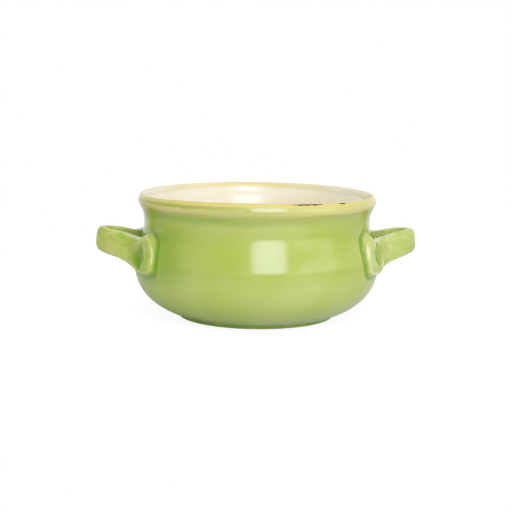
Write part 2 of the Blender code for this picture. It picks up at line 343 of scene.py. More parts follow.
def blend(tree, factor, first, second):
    made = tree.nodes.new("ShaderNodeMix")
    made.data_type = "RGBA"
    for index, value in ((0, factor), (6, first), (7, second)):
        if isinstance(value, bpy.types.NodeSocket):
            tree.links.new(value, made.inputs[index])
        else:
            made.inputs[index].default_value = (*value, 1) if index > 0 else value
    return made.outputs[2]


def sums(tree, kind, first, second):
    return addNode(tree, "ShaderNodeMath", {0: first, 1: second}, operation=kind).outputs[0]


def times(tree, value, *others):
    for other in others:
        value = sums(tree, "MULTIPLY", value, other)
    return value


def highest(tree, value, *others):
    for other in others:
        value = sums(tree, "MAXIMUM", value, other)
    return value


def strayed(tree, value, scale, reach):
    # the value moved up and down in clouds, by half of reach at most
    cloud = sums(tree, "SUBTRACT", speckle(tree, scale, 4), 0.5)
    return sums(tree, "ADD", value, times(tree, cloud, reach))


def placeOf(tree):
    place = addNode(tree, "ShaderNodeTexCoord").outputs["Object"]
    return addNode(tree, "ShaderNodeSeparateXYZ", {0: place}).outputs


def ofAttribute(tree, name):
    return addNode(tree, "ShaderNodeAttribute", attribute_name=name).outputs["Fac"]


def dimpled(tree, shader, scale, depth):
    height = speckle(tree, scale, 2)
    bump = addNode(tree, "ShaderNodeBump", {"Height": height, "Distance": depth, "Strength": 0.5})
    tree.links.new(bump.outputs["Normal"], shader.inputs["Normal"])


def greenGlaze(name, finish):
    material, tree, shader = newMaterial(name, finish["roughness"])
    side, _, height = placeOf(tree)
    pooledAndShaded = finish["poolAndShadeGreen"]

    # clouds, paler on the lower belly, where the floor's reflection is painted, and under the neck
    floorSheenAndNeck = highest(tree, ramp(tree, height, 0.052, 0.028), ramp(tree, height, 0.056, 0.063))
    offRight = highest(tree, ramp(tree, side, 0.070, 0.020), ramp(tree, height, 0.050, 0.060))
    pale = times(tree, floorSheenAndNeck, ramp(tree, side, -0.070, -0.010), offRight)
    cloud = ramp(tree, speckle(tree, 26, 4), 0.35, 0.68, 0.5)
    cloud = sums(tree, "ADD", cloud, times(tree, pale, 0.4))
    colour = blend(tree, cloud, finish["green"], finish["paleGreen"])

    # painted shade beside the left handle, and a deeper green in faint rings
    shadeBeside = times(tree, ramp(tree, height, 0.020, 0.034), ramp(tree, height, 0.066, 0.056),
                   ramp(tree, side, -0.038, -0.060, finish["leftPaintedShade"]))
    colour = blend(tree, shadeBeside, colour, pooledAndShaded)
    rings = ramp(tree, speckle(tree, 1, 2, (9, 9, 150)), 0.40, 0.72, finish["banding"])
    colour = blend(tree, rings, colour, pooledAndShaded)
    if finish["mottle"]:
        tanSpots = ramp(tree, speckle(tree, 105, 3), 0.50, 0.68, finish["mottle"])
        freshSpots = ramp(tree, speckle(tree, 82, 3), 0.53, 0.39, finish["mottle"])
        colour = blend(tree, tanSpots, colour, finish["tan"])
        colour = blend(tree, freshSpots, colour, finish["freshGreen"])

    # pooled glaze with painted shade under the lip band, tan where it meets it, and painted shade deepening
    # towards the foot and at the foot
    level = strayed(tree, height, 55, 0.0038)
    neck = times(tree, ramp(tree, level, 0.0648, 0.0683), ramp(tree, level, 0.0720, 0.0698),
                 ramp(tree, side, 0.075, -0.045, finish["neckPoolAndShade"]))
    colour = blend(tree, neck, colour, pooledAndShaded)
    colour = blend(tree, ramp(tree, level, 0.0697, 0.0718), colour, finish["rimTan"])
    # painted shade, darker towards the foot
    colour = blend(tree, ramp(tree, height, 0.026, 0.006, finish["lowShade"]), colour, pooledAndShaded)
    # painted shade at the foot
    colour = blend(tree, ramp(tree, level, 0.0045, 0.0012, 0.80), colour, finish["footShadeGreen"])

    # what markRelief found: pooled glaze with painted shade in hollows, thin glaze with a painted highlight
    # over edges
    hollow = ramp(tree, ofAttribute(tree, "pool"), 0.0, 1.0, finish["poolingAndShade"])
    colour = blend(tree, hollow, colour, pooledAndShaded)
    thinAndSheen = times(tree, ofAttribute(tree, "thinAndSheen"), ramp(tree, speckle(tree, 120, 3), 0.25, 0.65))
    colour = blend(tree, ramp(tree, thinAndSheen, 0.05, 0.9, finish["thinningAndSheen"]), colour, finish["thinAndSheenStraw"])
    tree.links.new(colour, shader.inputs["Base Color"])
    dimpled(tree, shader, 260, 0.00012)
    return material


def strawGlaze(name, finish):
    material, tree, shader = newMaterial(name, finish["roughness"])
    side, depth, _ = placeOf(tree)
    across = strayed(tree, ofAttribute(tree, "across"), 60, 0.13)    # 0 outside the band, 1 inside it

    # tan edge, straw, and green stains along the front
    colour = blend(tree, ramp(tree, across, 0.00, 0.17), finish["rimTan"], finish["straw"])
    front = times(tree, ramp(tree, side, -0.050, -0.020, 0.75), ramp(tree, side, 0.046, 0.002))
    green = highest(tree, front, ramp(tree, speckle(tree, 38, 4), 0.46, 0.64, 0.45))
    colour = blend(tree, green, colour, finish["greenStain"])
    olive = times(tree, ramp(tree, across, 0.24, 0.31), ramp(tree, across, 0.44, 0.37),
                  ramp(tree, side, 0.015, -0.050, 0.85))
    colour = blend(tree, olive, colour, finish["olive"])

    # yellow crest with an amber line, paler within, and painted shade at the left end
    colour = blend(tree, ramp(tree, across, 0.36, 0.44), colour, finish["yellow"])
    amber = times(tree, ramp(tree, across, 0.42, 0.48), ramp(tree, across, 0.66, 0.58),
                  ramp(tree, side, -0.066, -0.020), ramp(tree, side, 0.046, 0.014),
                  ramp(tree, speckle(tree, 45, 3), 0.34, 0.56))
    colour = blend(tree, amber, colour, finish["amber"])
    colour = blend(tree, ramp(tree, across, 0.58, 0.66), colour, finish["paleYellow"])
    # painted shade at the left end of the band
    paintedShadeLeftEnd = times(tree, ramp(tree, side, -0.058, -0.074, 0.32), ramp(tree, across, 0.66, 0.50))
    colour = blend(tree, paintedShadeLeftEnd, colour, finish["olive"])

    # cream inside, sooner at both ends and along the far side
    farRight = times(tree, ramp(tree, side, 0.030, 0.062), ramp(tree, depth, 0.000, 0.025))
    ends = highest(tree, farRight, ramp(tree, side, -0.040, -0.068))
    offMiddle = highest(tree, ramp(tree, side, 0.010, 0.034, 0.40), ramp(tree, side, -0.010, -0.030, 0.40))
    farSide = times(tree, offMiddle, ramp(tree, depth, 0.012, 0.040))
    rightEnd = times(tree, ramp(tree, side, 0.040, 0.060, 0.85), ramp(tree, depth, -0.012, 0.010))
    faded = highest(tree, farSide, rightEnd)
    cream = highest(tree, times(tree, ends, ramp(tree, across, 0.56, 0.72)),
                    times(tree, faded, ramp(tree, across, 0.44, 0.56)), ramp(tree, across, 0.72, 0.92))
    colour = blend(tree, cream, colour, finish["cream"])

    # brown specks outside and bare clay in the chips
    brown = times(tree, ramp(tree, speckle(tree, 300, 2), 0.67, 0.74), ramp(tree, across, 0.34, 0.24), 0.5)
    colour = blend(tree, brown, colour, finish["brown"])
    chipped = ramp(tree, ofAttribute(tree, "chip"), 0.30, 0.62)
    colour = blend(tree, chipped, colour, finish["chip"])

    softer = spread(tree, ramp(tree, across, 0.54, 0.64), finish["roughness"], finish["innerRoughness"])
    softer = mixed(tree, ramp(tree, across, 0.75, 0.92), softer, finish["linerRoughness"])
    matt = mixed(tree, chipped, softer, finish["chipRoughness"])
    tree.links.new(matt, shader.inputs["Roughness"])
    tree.links.new(colour, shader.inputs["Base Color"])
    dimpled(tree, shader, 240, 0.00012)
    return material


def creamGlaze(name, finish):
    material, tree, shader = newMaterial(name, finish["roughness"])
    colour = blend(tree, ramp(tree, speckle(tree, 20, 4), 0.35, 0.68), finish["cream"], finish["warmCream"])
    specks = ramp(tree, speckle(tree, 520, 2), 0.70, 0.78, 0.35)
    colour = blend(tree, specks, colour, finish["speck"])
    tree.links.new(colour, shader.inputs["Base Color"])
    dimpled(tree, shader, 220, 0.00012)
    return material


def bareClay(name, finish):
    material, tree, shader = newMaterial(name, finish["roughness"], 1.45)
    colour = blend(tree, ramp(tree, speckle(tree, 60, 5), 0.35, 0.68), finish["clay"], finish["darkClay"])
    grit = ramp(tree, speckle(tree, 1600, 2), 0.62, 0.74, 0.6)
    colour = blend(tree, grit, colour, finish["grit"])
    tree.links.new(colour, shader.inputs["Base Color"])
    dimpled(tree, shader, 1400, 0.0002)
    return material


# Handles
strapStation = namedtuple("strapStation", "out side height tall thick lean shift square slope")


def pressedEnd(**own):
    # one end of a strap, pressed on to the wall; lean and turn are degrees round the bowl, away from the loop
    plain = {
        "padTop": 0.0536,       # the ear's peak, where the strap's upper edge meets the wall
        "toeTop": 0.0530,
        "toeLean": -1.0,        # of the toe's top
        "toeTurn": -1.0,        # of the whole toe
        "toeBow": 0.0,          # of the toe's middle
        "thumbAt": 0.0467,      # the print's middle, measured over the outer face from the loop's nose
        "thumbHeight": 0.0433,
        "thumbBefore": 0.0150,  # its reach towards the loop
        "thumbAfter": 0.0070,   # its reach towards the pad
        "thumbHalf": 0.0079,
        "thumbDepth": 0.0033,
        "thumbBlunt": 0.8,      # the lower, the blunter its upper and lower ends
        "thumbTilt": 0.25,      # how much deeper it is below its middle
        "thumbSkew": 1.5,       # over 1 the print is deepest near the pad, under 1 near the loop
        "poolSkew": 1.3,        # the same for the glaze pooled in it, with its painted shade
        "poolDepth": 1.0,
        "poolAndShadeLevel": 0.85,      # how full of glaze, darkened with painted shade, the print's middle is, and how much fuller below it
        "poolAndShadeTilt": 0.35,
        "thumbEase": 0.01,      # share of the print over which its side towards the loop fades out
        "pushedReach": 0.32,    # share of the print over which clay is pushed up beside it
        "pushedUp": 0.0003,
    }
    return dict(plain, **own)


rightHandle = {
    "reach": 0.0242,
    "thickness": 0.0072,
    "noseSquareness": 2.5,
    "squareness": 4.4,
    "padSquareness": 4.4,
    "lean": 5,
    "loopHalfWidth": 0.0123,
    "throatHalfWidth": 0.0161,
    "noseTop": 0.0575,
    "noseBottom": 0.0417,
    "throatTop": 0.0533,
    "throatBottom": 0.0342,
    "webAngle": 20,
    "webBottom": 0.0324,
    "heelTop": 0.0548,
    "padAngle": 29.5,
    "padBottom": 0.0314,
    "padWidth": 0.0118,
    "padProud": 0.0048,
    "padSunk": 0.0050,
    "padLean": 12,
    "padSlope": 0.85,       # how steeply a pad's top rises to the wall
    "heelSlope": 0.34,
    "toeRound": 0.0030,     # rounding of the toe's edge towards the wall
    "toeCorner": 0.0036,    # rounding of the toe's upper and lower corners
    "toeFrom": 23,          # degrees from the loop's middle at which a toe begins, and over which it comes in
    "toeFade": 10,
    "faceEdge": 0.1,        # where on the strap's outer face a print begins, and over how much it comes in
    "faceFade": 0.7,
    "seatSunk": 0.0012,     # how far a pad reaches into the wall
    "poolAndShadeOff": 0.0004,      # glaze pools on a pad, with painted shade, up to here from the wall, and fades over this
    "poolAndShadeFade": 0.0008,
    "unevenness": 0.00016,
    "toeUnevenness": 1.2,   # how much more uneven a toe is
    "lumpScale": 95,
    "grainScale": 240,
    "seed": 2.0,
    "front": pressedEnd(padTop=0.0590, toeTop=0.0572, toeLean=-1.3, toeTurn=-2.7, toeBow=3.1, thumbAt=0.0460,
                        thumbHeight=0.0441, thumbBefore=0.0160, thumbAfter=0.0080, thumbHalf=0.0082,
                        thumbDepth=0.0034, thumbSkew=0.80, poolSkew=0.62, poolDepth=0.72, thumbEase=0.4),
    "back": pressedEnd(),
}
leftHandle = dict(
    rightHandle,
    toeRound=0.0034,
    toeCorner=0.0052,
    heelTop=0.0566,
    padSlope=0.45,
    seed=11.0,
    front=pressedEnd(padTop=0.0567, toeTop=0.0562, toeLean=-2.4, toeTurn=-1.2, toeBow=2.0, thumbAt=0.0475,
                     thumbHeight=0.0425, thumbBefore=0.0172, thumbAfter=0.0059, thumbHalf=0.0090,
                     thumbDepth=0.0036),
)


def handleStations(handle, end):
    belly = bowl["bellyRadius"]
    nose = belly + handle["reach"] - handle["thickness"] / 2
    square, slope = handle["squareness"], handle["padSlope"]

    def onStrap(out, side, fall, squareness):
        top = handle["noseTop"] + fall * (handle["throatTop"] - handle["noseTop"])
        bottom = handle["noseBottom"] + fall * (handle["throatBottom"] - handle["noseBottom"])
        height, lean = (top + bottom) / 2, math.radians(handle["lean"])
        return strapStation(out, side, height, top - bottom, handle["thickness"], lean, 0, squareness, 0)

    def onLoop(back, width, fall, squareness):
        return onStrap(nose - back * (nose - belly), width * handle["loopHalfWidth"], fall, squareness)

    def onWall(angle, top, bottom, proud, slope):
        height = (top + bottom) / 2
        radius = wallRadius(height)
        thick, shift = proud + handle["padSunk"], (proud - handle["padSunk"]) / 2
        out, side = radius * math.cos(angle), radius * math.sin(angle)
        lean, squareness = math.radians(handle["padLean"]), handle["padSquareness"]
        return strapStation(out, side, height, top - bottom, thick, lean, shift, squareness, slope)

    padAngle, padTurn = math.radians(handle["padAngle"]), handle["padWidth"] / 2 / belly
    padTop, padBottom, proud = end["padTop"], handle["padBottom"], handle["padProud"]
    heelTop = min(handle["heelTop"], padTop)
    stations = [
        onStrap(nose, 0, 0, handle["noseSquareness"]),
        onLoop(0.22, 0.60, 0.18, handle["noseSquareness"]),
        onLoop(0.70, 1.00, 0.58, square),
        onStrap(belly, handle["throatHalfWidth"], 1, square),
        onWall(math.radians(handle["webAngle"]), handle["throatTop"], handle["webBottom"], proud, 0),
        onWall(padAngle - padTurn, heelTop, padBottom, proud, handle["heelSlope"]),
        onWall(padAngle, padTop, padBottom, proud, slope),
    ]
    for share in (0.75, 0.5, 0.3, 0.15, 0.06, 0.015):    # of the toe's corner that is still to come
        left = share * handle["toeCorner"]
        corner, edge = rounding(handle["toeCorner"], left), rounding(handle["toeRound"], left)
        angle = padAngle + padTurn - left / belly
        steeper = slope * proud / (proud - edge)
        stations.append(onWall(angle, end["toeTop"] - corner, padBottom + corner, proud - edge, steeper))
    return stations


def rounding(radius, left):
    # how far a rounded corner has fallen at a distance from its end
    short = max(0, radius - left)
    return radius - math.sqrt(radius * radius - short * short)


def smoothRings(firstHalf, secondHalf, spacing):
    # the whole strap from toe to toe, with rings drawn smoothly through its stations
    mirrored = [station._replace(side=-station.side) for station in firstHalf[:0:-1]]
    whole = [Vector(station) for station in mirrored + secondHalf]
    steps = [math.dist(here[:3], after[:3]) for here, after in zip(whole, whole[1:])]
    chords = [(after - here) / step for here, after, step in zip(whole, whole[1:], steps)]
    slopes = [chords[0]]
    for i in range(1, len(chords)):
        slopes.append((chords[i] * steps[i - 1] + chords[i - 1] * steps[i]) / (steps[i] + steps[i - 1]))
    slopes.append(chords[-1])
    rings = []
    for i, step in enumerate(steps):
        start, rise = whole[i], whole[i + 1] - whole[i]
        first, last = slopes[i] * step, slopes[i + 1] * step
        count = max(1, round(step / spacing))
        for k in range(count):
            t = k / count
            bend = 3 * rise - 2 * first - last + t * (first + last - 2 * rise)
            rings.append(start + t * (first + t * bend))
    rings.append(whole[-1])
    return [strapStation(*ring) for ring in rings]


def sectionShares(tall, thick, squareness, sides):
    # a rounded section's points, evenly spaced round it, as distances across and along
    drawn, fine = [], 320
    for k in range(fine + 1):
        turn = 2 * math.pi * k / fine
        across = math.copysign(abs(math.cos(turn)) ** (2 / squareness), math.cos(turn)) * thick / 2
        along = math.copysign(abs(math.sin(turn)) ** (2 / squareness), math.sin(turn)) * tall / 2
        drawn.append(Vector((across, along)))
    length = sum((after - here).length for here, after in zip(drawn, drawn[1:]))
    return spaced(drawn, lambda point: length / sides)[:sides]


def thumbPrint(end, along, height):
    # depth of an almond print and the glaze pooled in it, which also carries painted shade
    rise = (height - end["thumbHeight"]) / end["thumbHalf"]
    if abs(rise) >= 1:
        return 0, 0
    width = (1 - rise * rise) ** end["thumbBlunt"]
    low = end["thumbAt"] - end["thumbBefore"] * width
    high = end["thumbAt"] + end["thumbAfter"] * width
    share = (along - low) / (high - low)
    if not -end["pushedReach"] < share < 1:
        return 0, 0
    if share < 0:
        swell = math.sin(math.pi * share / -end["pushedReach"]) ** 2
        return -end["pushedUp"] * (1 - rise * rise) * swell, 0
    level = (1 - rise * rise) ** 0.5 * (1 - end["thumbTilt"] * rise)
    ease = min(1, share / end["thumbEase"])
    deep, pooledAndShaded = [ease * math.sin(math.pi * share ** end[skew]) for skew in ("thumbSkew", "poolSkew")]
    full = end["poolAndShadeLevel"] - end["poolAndShadeTilt"] * rise
    return end["thumbDepth"] * level * deep, end["poolDepth"] * level * pooledAndShaded * full


def loftHandle(handle, ends, sides=104, spacing=0.00052):
    rings = smoothRings(handleStations(handle, ends[-1]), handleStations(handle, ends[1]), spacing)
    last, middle = len(rings) - 1, max(range(len(rings)), key=lambda i: rings[i].out)
    places = []
    for i, station in enumerate(rings):
        back, front = rings[max(i - 1, 0)], rings[min(i + 1, last)]
        ahead = Vector((front.out - back.out, front.side - back.side, 0)).normalized()
        outward = Vector((ahead.y, -ahead.x, 0))
        up = Vector((0, 0, math.cos(station.lean))) - outward * math.sin(station.lean)
        out = outward * math.cos(station.lean) + Vector((0, 0, math.sin(station.lean)))
        centre = Vector((station.out, station.side, station.height)) + station.shift * outward
        places.append((centre, out, up))
    faces = [centre + out * station.thick / 2 for station, (centre, out, up) in zip(rings, places)]
    along = [0] * len(rings)    # distance from the loop's nose, over the outer face
    for i in range(middle + 1, len(rings)):
        along[i] = along[i - 1] + (faces[i] - faces[i - 1]).length
    for i in range(middle - 1, -1, -1):
        along[i] = along[i + 1] + (faces[i] - faces[i + 1]).length

    bm = bmesh.new()
    pool = bm.verts.layers.float.new("pool")
    previous = None
    caps = []
    for i, station in enumerate(rings):
        centre, out, up = places[i]
        loop = []
        for share in sectionShares(station.tall, station.thick, station.square, sides):
            rise = max(0, 2 * share.y / station.tall)
            drop = station.slope * max(0, share.x + station.shift) * rise ** 5
            point = centre + share.x * out + (share.y - drop) * up
            end = ends[1 if i > middle else -1]
            facing = clamped((share.x / station.thick * 2 - handle["faceEdge"]) / handle["faceFade"])
            pressed, pooledAndShaded = thumbPrint(end, along[i], point.z)
            vert = bm.verts.new(point - pressed * facing * out)
            # glaze pooled in a print, darkened with painted shade
            vert[pool] = min(1, pooledAndShaded * facing)
            loop.append(vert)
        for k in range(sides if previous else 0):
            bm.faces.new((previous[k - 1], previous[k], loop[k], loop[k - 1]))
        previous = loop
        if i in (0, last):
            caps.append((loop, centre))
    for loop, centre in caps:
        for share in (0.8, 0.6):    # two smaller rings close a toe
            smaller = [bm.verts.new(centre + share * (vert.co - centre)) for vert in loop]
            for k in range(sides):
                bm.faces.new((loop[k - 1], loop[k], smaller[k], smaller[k - 1]))
            loop = smaller
        bm.faces.new(loop)
    bmesh.ops.recalc_face_normals(bm, faces=bm.faces)
    bm.normal_update()

    for vert in bm.verts:
        co = vert.co
        side = 1 if co.y > 0 else -1
        end = ends[side]
        heart = (end["padTop"] + handle["padBottom"]) / 2
        angle = math.degrees(math.atan2(abs(co.y), co.x))
        toe = clamped((angle - handle["toeFrom"]) / handle["toeFade"])
        level = (co.z - heart) / (end["padTop"] - heart)
        lean = end["toeTurn"] + end["toeLean"] * level + end["toeBow"] * max(0, 1 - level * level)
        lean *= side * eased(toe)
        lump = noise.noise(co * handle["lumpScale"] + Vector((handle["seed"], 0, 0)))
        lump += 0.5 * noise.noise(co * handle["grainScale"] + Vector((0, handle["seed"], 0)))
        co = co + vert.normal * handle["unevenness"] * (1 + handle["toeUnevenness"] * toe) * (lump - 1)
        vert.co = Matrix.Rotation(math.radians(lean), 3, "Z") @ co
    for vert in bm.verts:
        co = vert.co
        radius, seat = math.hypot(co.x, co.y), wallRadius(co.z)
        sunk = seat - handle["seatSunk"]
        if radius < sunk:
            vert.co = Vector((co.x * sunk / radius, co.y * sunk / radius, co.z))
        # glaze pooled along the wall, darkened with painted shade
        off = max(0, radius - seat - handle["poolAndShadeOff"])
        vert[pool] = max(vert[pool], math.exp(-(off / handle["poolAndShadeFade"]) ** 2))
    return bm


print("handles: two pressed straps")
handleBms = {}
for hand, handle, turn, front in (("right", rightHandle, 0, -1), ("left", leftHandle, math.pi, 1)):
    bm = loftHandle(handle, {front: handle["front"], -front: handle["back"]})
    bmesh.ops.rotate(bm, verts=bm.verts, cent=(0, 0, 0), matrix=Matrix.Rotation(turn, 3, "Z"))
    markRelief(bm)
    handleBms[hand] = bm
handleTrees = [BVHTree.FromBMesh(bm) for bm in handleBms.values()]

print("bowl: glaze outside, with a fillet round each handle end")
outerGlaze = {
    "footRows": 0.004,      # closer rows below this height, and between the next two
    "jointRows": (0.027, 0.063),
    "skin": 0.0002,         # a point no deeper than this belongs to the coat's outer face
    "handleReach": 0.008,   # how far from a handle its marks can reach
    "coverReach": 0.03,     # how far out a handle can stand over a point
    "fillet": 0.0013,
    "ridge": 0.00014,       # smeared slip that stands up round a handle, just outside the crease
    "ridgeAt": 0.0043,
    "ridgeWidth": 0.0008,
    "ridgeTop": 0.0570,     # wiped away above this height, and fading out below it
    "ridgeFade": 0.0060,
    # how much the glaze thins along the ridge, which also paints a highlight there
    "ridgeThinAndSheen": 0.45,
    "crease": (0.0010, 0.0038),     # where the glaze pooled round a handle, with its painted shade, starts to thin and where it ends
    "heldAngles": (8, 36, 6),       # over the joining slip the wall is held true: from, to, and fading over
    "heldHeights": (0.0290, 0.0595, 0.0050),
    "bandMargin": 0.0025,   # no marks this near to the lip band
    "roughness": 0.14,
    "green": (0.394, 0.503, 0.064),
    "paleGreen": (0.494, 0.568, 0.150),
    "poolAndShadeGreen": (0.192, 0.358, 0.018),
    "footShadeGreen": (0.195, 0.420, 0.010),
    "thinAndSheenStraw": (0.580, 0.620, 0.200),
    "rimTan": (0.450, 0.455, 0.090),
    "banding": 0.10,
    "neckPoolAndShade": 0.46,
    "leftPaintedShade": 0.48,
    "lowShade": 0.20,
    "poolingAndShade": 0.95,
    "thinningAndSheen": 0.75,
    "mottle": 0.0,
    "tan": (0.590, 0.550, 0.175),
    "freshGreen": (0.350, 0.500, 0.045),
}


def outerSpacing(point):
    if point.y < outerGlaze["footRows"]:
        return rows["foot"]
    low, high = outerGlaze["jointRows"]
    return rows["joint"] if low < point.y < high else rows["wall"]


def outOf(value, low, high, fade):
    return max(0, low - value, value - high) / fade


coat = spaced(between(outside, bowl["bareFoot"], bandLow), outerSpacing)
backing = evenly(inset(coat, bowl["glaze"])[::-1], "backing")
bm = spinOutline(coat + backing)
pool = bm.verts.layers.float.new("pool")
thinAndSheen = bm.verts.layers.float.new("thinAndSheen")
for vert in bm.verts:
    radius = math.hypot(vert.co.x, vert.co.y)
    finished = radius > wallRadius(vert.co.z) - outerGlaze["skin"]
    ideal = vert.co.copy()
    vert.co = thrown(ideal)
    if not finished:
        continue
    angle = math.degrees(math.atan2(abs(ideal.y), abs(ideal.x)))
    aside, above = outOf(angle, *outerGlaze["heldAngles"]), outOf(ideal.z, *outerGlaze["heldHeights"])
    vert.co = vert.co.lerp(ideal, max(0, 1 - math.hypot(aside, above)))
    for tree in handleTrees:
        spot, _, _, distance = tree.find_nearest(vert.co, outerGlaze["handleReach"])
        if spot is None:
            continue
        fillet = outerGlaze["fillet"]
        outward = Vector((vert.co.x, vert.co.y, 0)).normalized()
        ahead = tree.ray_cast(vert.co, outward, outerGlaze["coverReach"])[1]
        covered = ahead is not None and ahead.dot(outward) > 0
        if covered:
            lift = max(0, fillet - distance)
        else:
            gap = max(0, fillet - distance)
            smear = math.exp(-((distance - outerGlaze["ridgeAt"]) / outerGlaze["ridgeWidth"]) ** 2)
            smear *= clamped((outerGlaze["ridgeTop"] - vert.co.z) / outerGlaze["ridgeFade"])
            lift = fillet - math.sqrt(fillet * fillet - gap * gap) + outerGlaze["ridge"] * smear
            # thinner glaze along the slip ridge, with a painted highlight
            vert[thinAndSheen] = outerGlaze["ridgeThinAndSheen"] * smear
        radius = math.hypot(vert.co.x, vert.co.y)
        vert.co.x *= (radius + lift) / radius
        vert.co.y *= (radius + lift) / radius
        # glaze pooled in the crease round a handle, darkened with painted shade
        near, far = outerGlaze["crease"]
        pooledAndShaded = 1 if covered else eased(clamped((far - distance) / (far - near)))
        vert[pool] = max(vert[pool], pooledAndShaded)
markRelief(bm)
for vert in bm.verts:
    if vert.co.z > bandLow - outerGlaze["bandMargin"]:
        vert[thinAndSheen] = vert[pool] = 0
finishPiece(bm, "outerGlaze", "outer_glaze", greenGlaze("green wall glaze", outerGlaze))

leftFinish = dict(outerGlaze, green=(0.440, 0.536, 0.090), paleGreen=(0.550, 0.602, 0.182), banding=0.06,
                  leftPaintedShade=0.0, thinningAndSheen=0.85, thinAndSheenStraw=(0.650, 0.680, 0.260), mottle=0.70)
rightFinish = dict(leftFinish, green=(0.476, 0.565, 0.136), paleGreen=(0.576, 0.635, 0.208), mottle=0.45,
                   thinAndSheenStraw=(0.740, 0.770, 0.370))
for hand, finish in (("left", leftFinish), ("right", rightFinish)):
    glaze = greenGlaze(f"green glaze, {hand} handle", finish)
    finishPiece(handleBms[hand], f"{hand}Handle", f"{hand}_handle", glaze)

print("bowl: straw band over the lip, with its chips")
rimBand = {
    "roughness": 0.13,
    "innerRoughness": 0.40,
    "linerRoughness": 0.20,
    "rimTan": (0.450, 0.455, 0.090),
    "straw": (0.645, 0.620, 0.196),
    "greenStain": (0.506, 0.557, 0.150),
    "olive": (0.400, 0.430, 0.074),
    "yellow": (0.660, 0.615, 0.175),
    "amber": (0.685, 0.555, 0.130),
    "paleYellow": (0.735, 0.668, 0.225),
    "cream": (0.846, 0.812, 0.590),
    "brown": (0.300, 0.180, 0.050),
    "chip": (0.060, 0.040, 0.008),
    "chips": ((13.0, 30.0), (38.6, 43.4)),    # from the front towards +X, in degrees
    "chipRadius": 0.07435,
    "chipHalf": 0.00042,
    "chipStray": 0.00012,     # how far a chip's line wanders, and how much its width varies
    "chipRagged": 0.00014,
    "chipDepth": 0.00025,
    "chipReach": 0.0025,      # no chips lower than this under the crest
    "chipRoughness": 0.9,
    "crestDepth": 0.0016,     # closer rows this near to the crest
}


def bandSpacing(point):
    return rows["band"] if point.y < bowl["height"] - rimBand["crestDepth"] else rows["crest"]


outerBand = between(outside, bandLow, bowl["height"])
innerBand = between(inside, bowl["height"], bandInner)
band = spaced(outerBand + innerBand[1:], bandSpacing)
backing = evenly(inset(band, bowl["glaze"])[::-1], "bandBacking")
bm = spinOutline(band + backing, chippedArcs)
across = bm.verts.layers.float.new("across")
chip = bm.verts.layers.float.new("chip")
lengths = [0]
for here, after in zip(band, band[1:]):
    lengths.append(lengths[-1] + (after - here).length)
for vert in bm.verts:
    ideal = Vector((math.hypot(vert.co.x, vert.co.y), vert.co.z))
    nearest = min(range(len(band)), key=lambda i: (band[i] - ideal).length_squared)
    vert[across] = lengths[nearest] / lengths[-1]
    angle = math.degrees(math.atan2(vert.co.x, -vert.co.y))
    ragged = noise.noise(Vector((angle * 0.55, vert[across] * 6, 3)))
    for low, high in rimBand["chips"]:
        middle, half = (low + high) / 2, (high - low) / 2
        sideways = (angle - middle) / (half + 0.5 * ragged)
        radial = ideal.x - rimBand["chipRadius"] - rimBand["chipStray"] * ragged
        radial /= rimBand["chipHalf"] + rimBand["chipRagged"] * ragged
        if ideal.y > bowl["height"] - rimBand["chipReach"]:
            vert[chip] = max(vert[chip], max(0, 1.15 - sideways ** 4 - radial ** 2))
    vert.co = thrown(vert.co)
    vert.co.z -= rimBand["chipDepth"] * min(1, 2 * vert[chip])
finishPiece(bm, "rimBand", "rim_glaze", strawGlaze("straw rim glaze", rimBand))

print("bowl: cream glaze inside")
innerGlaze = {
    "roughness": 0.20,
    "cream": (0.846, 0.815, 0.590),
    "warmCream": (0.836, 0.790, 0.530),
    "speck": (0.520, 0.400, 0.240),
}
liner = evenly(between(inside[:-1], bandInner, inside[-1].y) + [inside[-1]], "liner")
backing = evenly(inset(liner, bowl["glaze"])[::-1], "backing")
bm = spinOutline(liner + backing)
for vert in bm.verts:
    vert.co = thrown(vert.co)
finishPiece(bm, "innerGlaze", "inner_glaze", creamGlaze("cream inner glaze", innerGlaze))

print("bowl: clay body and foot ring")
clayBody = {
    "roughness": 0.80,
    "clay": (0.560, 0.380, 0.240),
    "darkClay": (0.470, 0.300, 0.180),
    "grit": (0.250, 0.150, 0.090),
    "clearance": 0.00005,   # from the glaze
    "footEdge": 0.0004,
    "footTop": 0.0012,      # the turned foot takes over below this
    "recessFlat": 0.0200,
}
outline = evenly(inset(outside + inside[1:], bowl["glaze"] + clayBody["clearance"])[::-1], "clay")
foot = bowl["footRadius"] - bowl["glaze"]
ring = foot - bowl["footRingWidth"]
edge, recess = clayBody["footEdge"], bowl["footRecess"]
soft = 0.3 * edge
outline = [point for point in outline if point.y > clayBody["footTop"]]
outline += [Vector(corner) for corner in (
    (foot + edge, 2 * edge), (foot + soft, soft), (foot - edge, 0), (ring + edge, 0), (ring - soft, soft),
    (ring - edge, edge), (ring - bowl["footRecessSlope"], recess), (clayBody["recessFlat"], recess),
    (0, recess),
)]
bm = spinOutline(outline, plainArcs, closed=False)
for vert in bm.verts:
    vert.co = thrown(vert.co)
finishPiece(bm, "clayBody", "bowl_body", bareClay("fired clay", clayBody))

lutingSlip = {
    "roughness": 0.80,
    "clay": (0.610, 0.440, 0.300),
    "darkClay": (0.500, 0.340, 0.220),
    "grit": (0.300, 0.190, 0.120),
}
slip = bareClay("joining slip", lutingSlip)
for name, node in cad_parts.items():
    if name.endswith("luting"):
        node.data.materials.clear()
        node.data.materials.append(slip)

